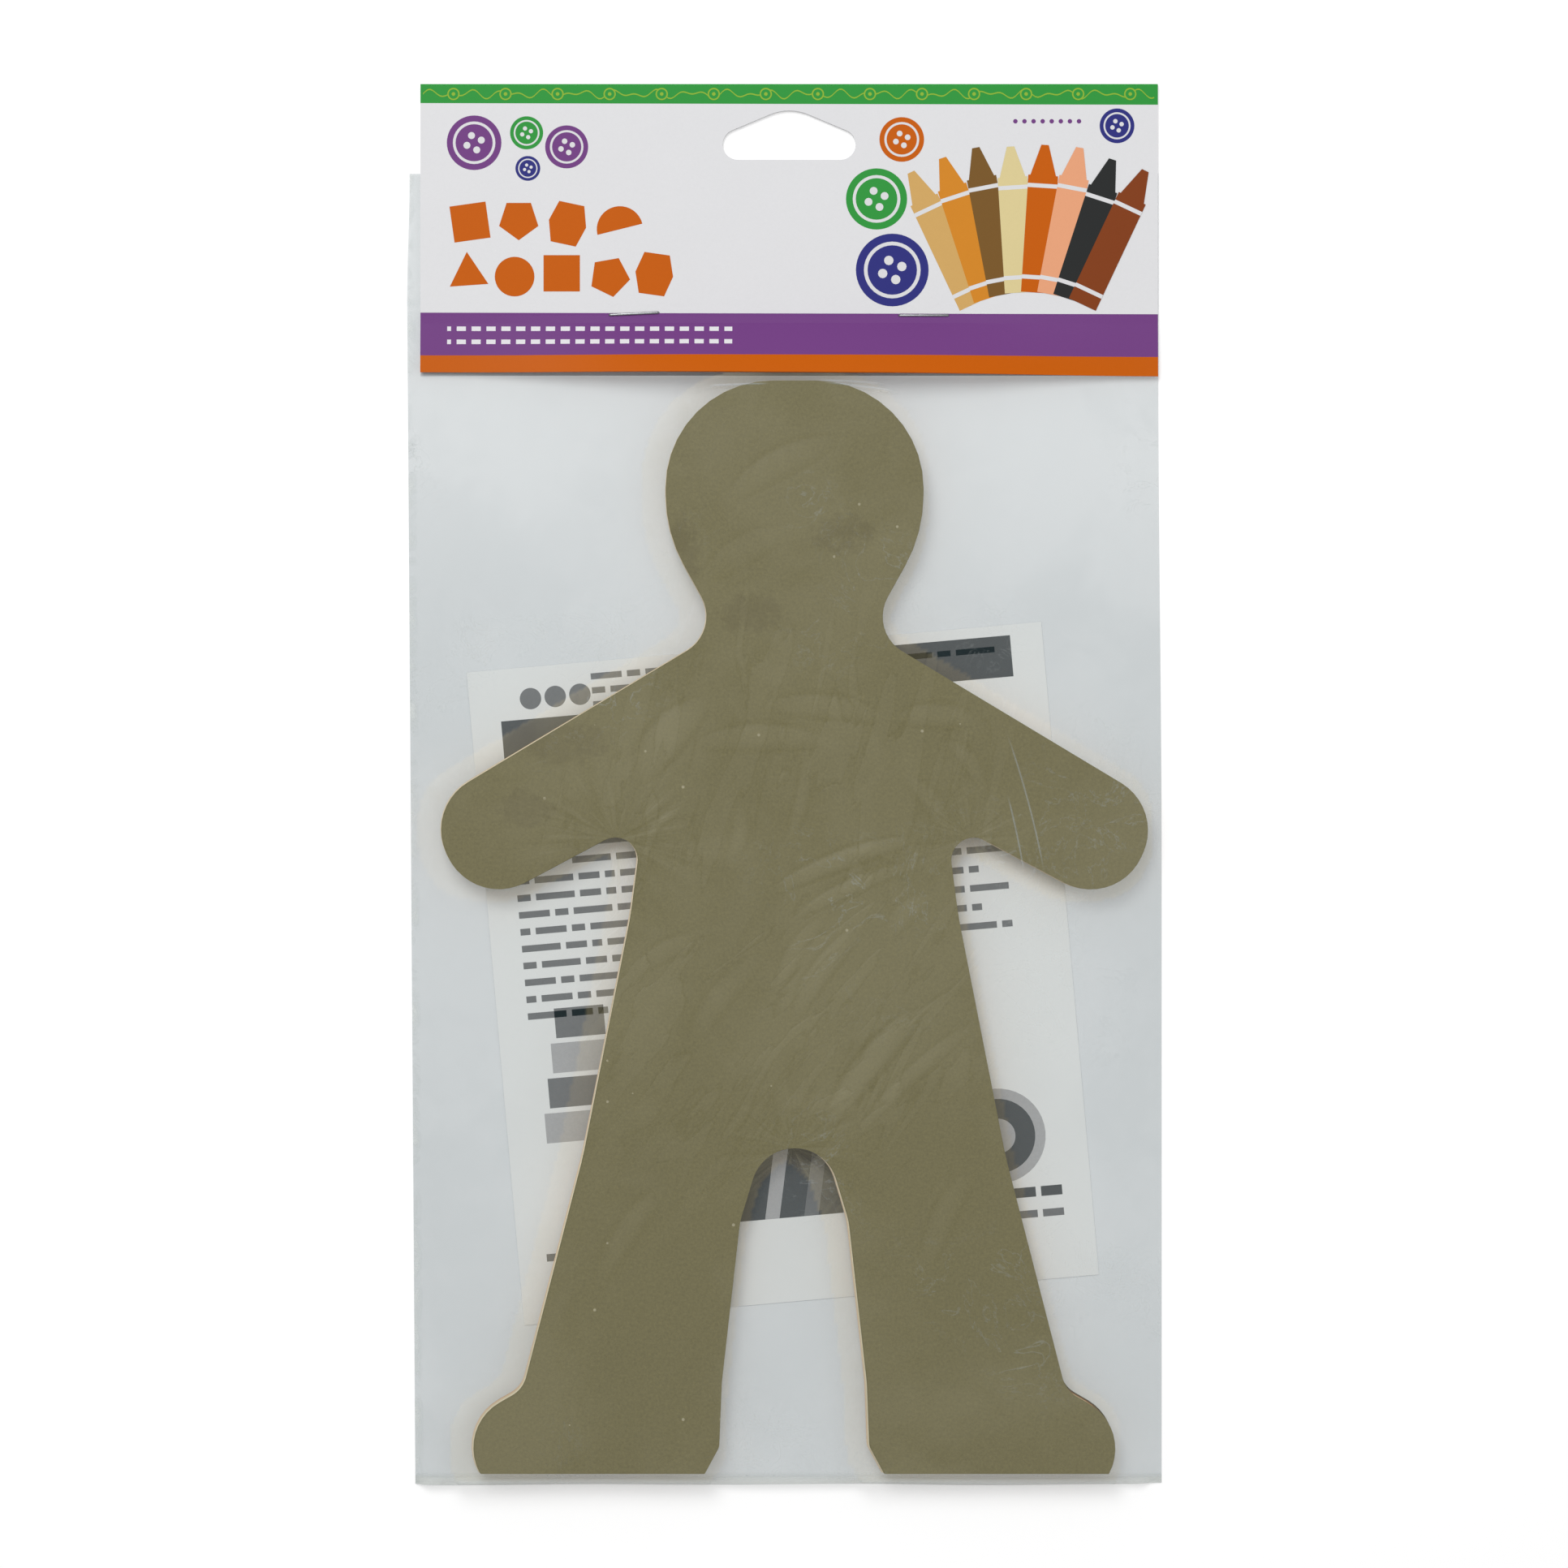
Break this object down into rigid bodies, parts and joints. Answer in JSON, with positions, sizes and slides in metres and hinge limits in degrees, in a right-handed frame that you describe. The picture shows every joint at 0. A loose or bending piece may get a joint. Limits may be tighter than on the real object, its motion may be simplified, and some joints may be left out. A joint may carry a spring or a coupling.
{
  "type": "paper doll",
  "caption": "Shop pack of die-cut paper dolls: a stack of loose doll-shaped paper sheets and a leaflet in a clear bag, closed by a stapled folded header card with a hang hole.",
  "frame": {"origin": "centre of the pack's bounding box, on the face that the pack lies on", "axes": "+Z out of the front of the pack, +Y towards the header card, +X to the right as seen from the front"},
  "size_m": [0.183, 0.339, 0.0079],
  "materials": {
    "header_card": "satin",
    "clear_film": "gloss",
    "staple_wire": "satin",
    "leaflet_paper": "matte",
    "olive_brown_paper": "matte",
    "cream_paper": "matte",
    "tan_paper": "matte",
    "peach_paper": "matte",
    "golden_paper": "matte",
    "brown_paper": "matte",
    "red_brown_paper": "matte",
    "black_paper": "matte"
  },
  "bodies": {
    "pack": {"header_card": "header_card", "bag_front_film": "clear_film", "bag_back_film": "clear_film", "staple_left": "staple_wire", "staple_right": "staple_wire"},
    "leaflet": {"leaflet": "leaflet_paper"},
    "stack_base": {"doll_sheet_40": "black_paper"},
    "sheet_01": {"doll_sheet_01": "olive_brown_paper"},
    "sheet_02": {"doll_sheet_02": "olive_brown_paper"},
    "sheet_03": {"doll_sheet_03": "olive_brown_paper"},
    "sheet_04": {"doll_sheet_04": "olive_brown_paper"},
    "sheet_05": {"doll_sheet_05": "olive_brown_paper"},
    "sheet_06": {"doll_sheet_06": "cream_paper"},
    "sheet_07": {"doll_sheet_07": "cream_paper"},
    "sheet_08": {"doll_sheet_08": "cream_paper"},
    "sheet_09": {"doll_sheet_09": "cream_paper"},
    "sheet_10": {"doll_sheet_10": "cream_paper"},
    "sheet_11": {"doll_sheet_11": "tan_paper"},
    "sheet_12": {"doll_sheet_12": "tan_paper"},
    "sheet_13": {"doll_sheet_13": "tan_paper"},
    "sheet_14": {"doll_sheet_14": "tan_paper"},
    "sheet_15": {"doll_sheet_15": "tan_paper"},
    "sheet_16": {"doll_sheet_16": "peach_paper"},
    "sheet_17": {"doll_sheet_17": "peach_paper"},
    "sheet_18": {"doll_sheet_18": "peach_paper"},
    "sheet_19": {"doll_sheet_19": "peach_paper"},
    "sheet_20": {"doll_sheet_20": "peach_paper"},
    "sheet_21": {"doll_sheet_21": "golden_paper"},
    "sheet_22": {"doll_sheet_22": "golden_paper"},
    "sheet_23": {"doll_sheet_23": "golden_paper"},
    "sheet_24": {"doll_sheet_24": "golden_paper"},
    "sheet_25": {"doll_sheet_25": "golden_paper"},
    "sheet_26": {"doll_sheet_26": "brown_paper"},
    "sheet_27": {"doll_sheet_27": "brown_paper"},
    "sheet_28": {"doll_sheet_28": "brown_paper"},
    "sheet_29": {"doll_sheet_29": "brown_paper"},
    "sheet_30": {"doll_sheet_30": "brown_paper"},
    "sheet_31": {"doll_sheet_31": "red_brown_paper"},
    "sheet_32": {"doll_sheet_32": "red_brown_paper"},
    "sheet_33": {"doll_sheet_33": "red_brown_paper"},
    "sheet_34": {"doll_sheet_34": "red_brown_paper"},
    "sheet_35": {"doll_sheet_35": "red_brown_paper"},
    "sheet_36": {"doll_sheet_36": "black_paper"},
    "sheet_37": {"doll_sheet_37": "black_paper"},
    "sheet_38": {"doll_sheet_38": "black_paper"},
    "sheet_39": {"doll_sheet_39": "black_paper"}
  },
  "joints": [
    {"name": "leaflet_slide", "type": "slide", "parent": "pack", "child": "leaflet", "axis": [0, 1, 0], "range_m": [-0.034, 0.054]},
    {"name": "stack_slide", "type": "slide", "parent": "pack", "child": "stack_base", "axis": [0, 1, 0], "range_m": [-0.0016, 0.0016]},
    {"name": "sheet_01_shift", "type": "slide", "parent": "stack_base", "child": "sheet_01", "axis": [1, 0, 0], "range_m": [-0.004, 0.0003]},
    {"name": "sheet_02_shift", "type": "slide", "parent": "stack_base", "child": "sheet_02", "axis": [1, 0, 0], "range_m": [-0.0039, 0.00029]},
    {"name": "sheet_03_shift", "type": "slide", "parent": "stack_base", "child": "sheet_03", "axis": [1, 0, 0], "range_m": [-0.0038, 0.00028]},
    {"name": "sheet_04_shift", "type": "slide", "parent": "stack_base", "child": "sheet_04", "axis": [1, 0, 0], "range_m": [-0.00369, 0.00028]},
    {"name": "sheet_05_shift", "type": "slide", "parent": "stack_base", "child": "sheet_05", "axis": [1, 0, 0], "range_m": [-0.00359, 0.00027]},
    {"name": "sheet_06_shift", "type": "slide", "parent": "stack_base", "child": "sheet_06", "axis": [1, 0, 0], "range_m": [-0.00349, 0.00026]},
    {"name": "sheet_07_shift", "type": "slide", "parent": "stack_base", "child": "sheet_07", "axis": [1, 0, 0], "range_m": [-0.00339, 0.00025]},
    {"name": "sheet_08_shift", "type": "slide", "parent": "stack_base", "child": "sheet_08", "axis": [1, 0, 0], "range_m": [-0.00328, 0.00025]},
    {"name": "sheet_09_shift", "type": "slide", "parent": "stack_base", "child": "sheet_09", "axis": [1, 0, 0], "range_m": [-0.00318, 0.00024]},
    {"name": "sheet_10_shift", "type": "slide", "parent": "stack_base", "child": "sheet_10", "axis": [1, 0, 0], "range_m": [-0.00308, 0.00023]},
    {"name": "sheet_11_shift", "type": "slide", "parent": "stack_base", "child": "sheet_11", "axis": [1, 0, 0], "range_m": [-0.00297, 0.00022]},
    {"name": "sheet_12_shift", "type": "slide", "parent": "stack_base", "child": "sheet_12", "axis": [1, 0, 0], "range_m": [-0.00287, 0.00022]},
    {"name": "sheet_13_shift", "type": "slide", "parent": "stack_base", "child": "sheet_13", "axis": [1, 0, 0], "range_m": [-0.00277, 0.00021]},
    {"name": "sheet_14_shift", "type": "slide", "parent": "stack_base", "child": "sheet_14", "axis": [1, 0, 0], "range_m": [-0.00267, 0.0002]},
    {"name": "sheet_15_shift", "type": "slide", "parent": "stack_base", "child": "sheet_15", "axis": [1, 0, 0], "range_m": [-0.00256, 0.00019]},
    {"name": "sheet_16_shift", "type": "slide", "parent": "stack_base", "child": "sheet_16", "axis": [1, 0, 0], "range_m": [-0.00246, 0.00018]},
    {"name": "sheet_17_shift", "type": "slide", "parent": "stack_base", "child": "sheet_17", "axis": [1, 0, 0], "range_m": [-0.00236, 0.00018]},
    {"name": "sheet_18_shift", "type": "slide", "parent": "stack_base", "child": "sheet_18", "axis": [1, 0, 0], "range_m": [-0.00226, 0.00017]},
    {"name": "sheet_19_shift", "type": "slide", "parent": "stack_base", "child": "sheet_19", "axis": [1, 0, 0], "range_m": [-0.00215, 0.00016]},
    {"name": "sheet_20_shift", "type": "slide", "parent": "stack_base", "child": "sheet_20", "axis": [1, 0, 0], "range_m": [-0.00205, 0.00015]},
    {"name": "sheet_21_shift", "type": "slide", "parent": "stack_base", "child": "sheet_21", "axis": [1, 0, 0], "range_m": [-0.00195, 0.00015]},
    {"name": "sheet_22_shift", "type": "slide", "parent": "stack_base", "child": "sheet_22", "axis": [1, 0, 0], "range_m": [-0.00185, 0.00014]},
    {"name": "sheet_23_shift", "type": "slide", "parent": "stack_base", "child": "sheet_23", "axis": [1, 0, 0], "range_m": [-0.00174, 0.00013]},
    {"name": "sheet_24_shift", "type": "slide", "parent": "stack_base", "child": "sheet_24", "axis": [1, 0, 0], "range_m": [-0.00164, 0.00012]},
    {"name": "sheet_25_shift", "type": "slide", "parent": "stack_base", "child": "sheet_25", "axis": [1, 0, 0], "range_m": [-0.00154, 0.00012]},
    {"name": "sheet_26_shift", "type": "slide", "parent": "stack_base", "child": "sheet_26", "axis": [1, 0, 0], "range_m": [-0.00144, 0.00011]},
    {"name": "sheet_27_shift", "type": "slide", "parent": "stack_base", "child": "sheet_27", "axis": [1, 0, 0], "range_m": [-0.00133, 0.0001]},
    {"name": "sheet_28_shift", "type": "slide", "parent": "stack_base", "child": "sheet_28", "axis": [1, 0, 0], "range_m": [-0.00123, 0.00009]},
    {"name": "sheet_29_shift", "type": "slide", "parent": "stack_base", "child": "sheet_29", "axis": [1, 0, 0], "range_m": [-0.00113, 0.00008]},
    {"name": "sheet_30_shift", "type": "slide", "parent": "stack_base", "child": "sheet_30", "axis": [1, 0, 0], "range_m": [-0.00103, 0.00008]},
    {"name": "sheet_31_shift", "type": "slide", "parent": "stack_base", "child": "sheet_31", "axis": [1, 0, 0], "range_m": [-0.00092329, 0.00006925]},
    {"name": "sheet_32_shift", "type": "slide", "parent": "stack_base", "child": "sheet_32", "axis": [1, 0, 0], "range_m": [-0.00082048, 0.00006154]},
    {"name": "sheet_33_shift", "type": "slide", "parent": "stack_base", "child": "sheet_33", "axis": [1, 0, 0], "range_m": [-0.00071807, 0.00005386]},
    {"name": "sheet_34_shift", "type": "slide", "parent": "stack_base", "child": "sheet_34", "axis": [1, 0, 0], "range_m": [-0.00061526, 0.00004614]},
    {"name": "sheet_35_shift", "type": "slide", "parent": "stack_base", "child": "sheet_35", "axis": [1, 0, 0], "range_m": [-0.00051285, 0.00003846]},
    {"name": "sheet_36_shift", "type": "slide", "parent": "stack_base", "child": "sheet_36", "axis": [1, 0, 0], "range_m": [-0.00041044, 0.00003078]},
    {"name": "sheet_37_shift", "type": "slide", "parent": "stack_base", "child": "sheet_37", "axis": [1, 0, 0], "range_m": [-0.00030763, 0.00002307]},
    {"name": "sheet_38_shift", "type": "slide", "parent": "stack_base", "child": "sheet_38", "axis": [1, 0, 0], "range_m": [-0.00020522, 0.00001539]},
    {"name": "sheet_39_shift", "type": "slide", "parent": "stack_base", "child": "sheet_39", "axis": [1, 0, 0], "range_m": [-0.00010241, 0.00000768]}
  ],
  "couplings": [
    {"joint": "sheet_02_shift", "follows": "sheet_01_shift", "ratio": 0.9744},
    {"joint": "sheet_03_shift", "follows": "sheet_01_shift", "ratio": 0.9487},
    {"joint": "sheet_04_shift", "follows": "sheet_01_shift", "ratio": 0.9231},
    {"joint": "sheet_05_shift", "follows": "sheet_01_shift", "ratio": 0.8974},
    {"joint": "sheet_06_shift", "follows": "sheet_01_shift", "ratio": 0.8718},
    {"joint": "sheet_07_shift", "follows": "sheet_01_shift", "ratio": 0.8462},
    {"joint": "sheet_08_shift", "follows": "sheet_01_shift", "ratio": 0.8205},
    {"joint": "sheet_09_shift", "follows": "sheet_01_shift", "ratio": 0.7949},
    {"joint": "sheet_10_shift", "follows": "sheet_01_shift", "ratio": 0.7692},
    {"joint": "sheet_11_shift", "follows": "sheet_01_shift", "ratio": 0.7436},
    {"joint": "sheet_12_shift", "follows": "sheet_01_shift", "ratio": 0.7179},
    {"joint": "sheet_13_shift", "follows": "sheet_01_shift", "ratio": 0.6923},
    {"joint": "sheet_14_shift", "follows": "sheet_01_shift", "ratio": 0.6667},
    {"joint": "sheet_15_shift", "follows": "sheet_01_shift", "ratio": 0.641},
    {"joint": "sheet_16_shift", "follows": "sheet_01_shift", "ratio": 0.6154},
    {"joint": "sheet_17_shift", "follows": "sheet_01_shift", "ratio": 0.5897},
    {"joint": "sheet_18_shift", "follows": "sheet_01_shift", "ratio": 0.5641},
    {"joint": "sheet_19_shift", "follows": "sheet_01_shift", "ratio": 0.5385},
    {"joint": "sheet_20_shift", "follows": "sheet_01_shift", "ratio": 0.5128},
    {"joint": "sheet_21_shift", "follows": "sheet_01_shift", "ratio": 0.4872},
    {"joint": "sheet_22_shift", "follows": "sheet_01_shift", "ratio": 0.4615},
    {"joint": "sheet_23_shift", "follows": "sheet_01_shift", "ratio": 0.4359},
    {"joint": "sheet_24_shift", "follows": "sheet_01_shift", "ratio": 0.4103},
    {"joint": "sheet_25_shift", "follows": "sheet_01_shift", "ratio": 0.3846},
    {"joint": "sheet_26_shift", "follows": "sheet_01_shift", "ratio": 0.359},
    {"joint": "sheet_27_shift", "follows": "sheet_01_shift", "ratio": 0.3333},
    {"joint": "sheet_28_shift", "follows": "sheet_01_shift", "ratio": 0.3077},
    {"joint": "sheet_29_shift", "follows": "sheet_01_shift", "ratio": 0.2821},
    {"joint": "sheet_30_shift", "follows": "sheet_01_shift", "ratio": 0.2564},
    {"joint": "sheet_31_shift", "follows": "sheet_01_shift", "ratio": 0.2308},
    {"joint": "sheet_32_shift", "follows": "sheet_01_shift", "ratio": 0.2051},
    {"joint": "sheet_33_shift", "follows": "sheet_01_shift", "ratio": 0.1795},
    {"joint": "sheet_34_shift", "follows": "sheet_01_shift", "ratio": 0.1538},
    {"joint": "sheet_35_shift", "follows": "sheet_01_shift", "ratio": 0.1282},
    {"joint": "sheet_36_shift", "follows": "sheet_01_shift", "ratio": 0.1026},
    {"joint": "sheet_37_shift", "follows": "sheet_01_shift", "ratio": 0.0769},
    {"joint": "sheet_38_shift", "follows": "sheet_01_shift", "ratio": 0.0513},
    {"joint": "sheet_39_shift", "follows": "sheet_01_shift", "ratio": 0.0256}
  ]
}
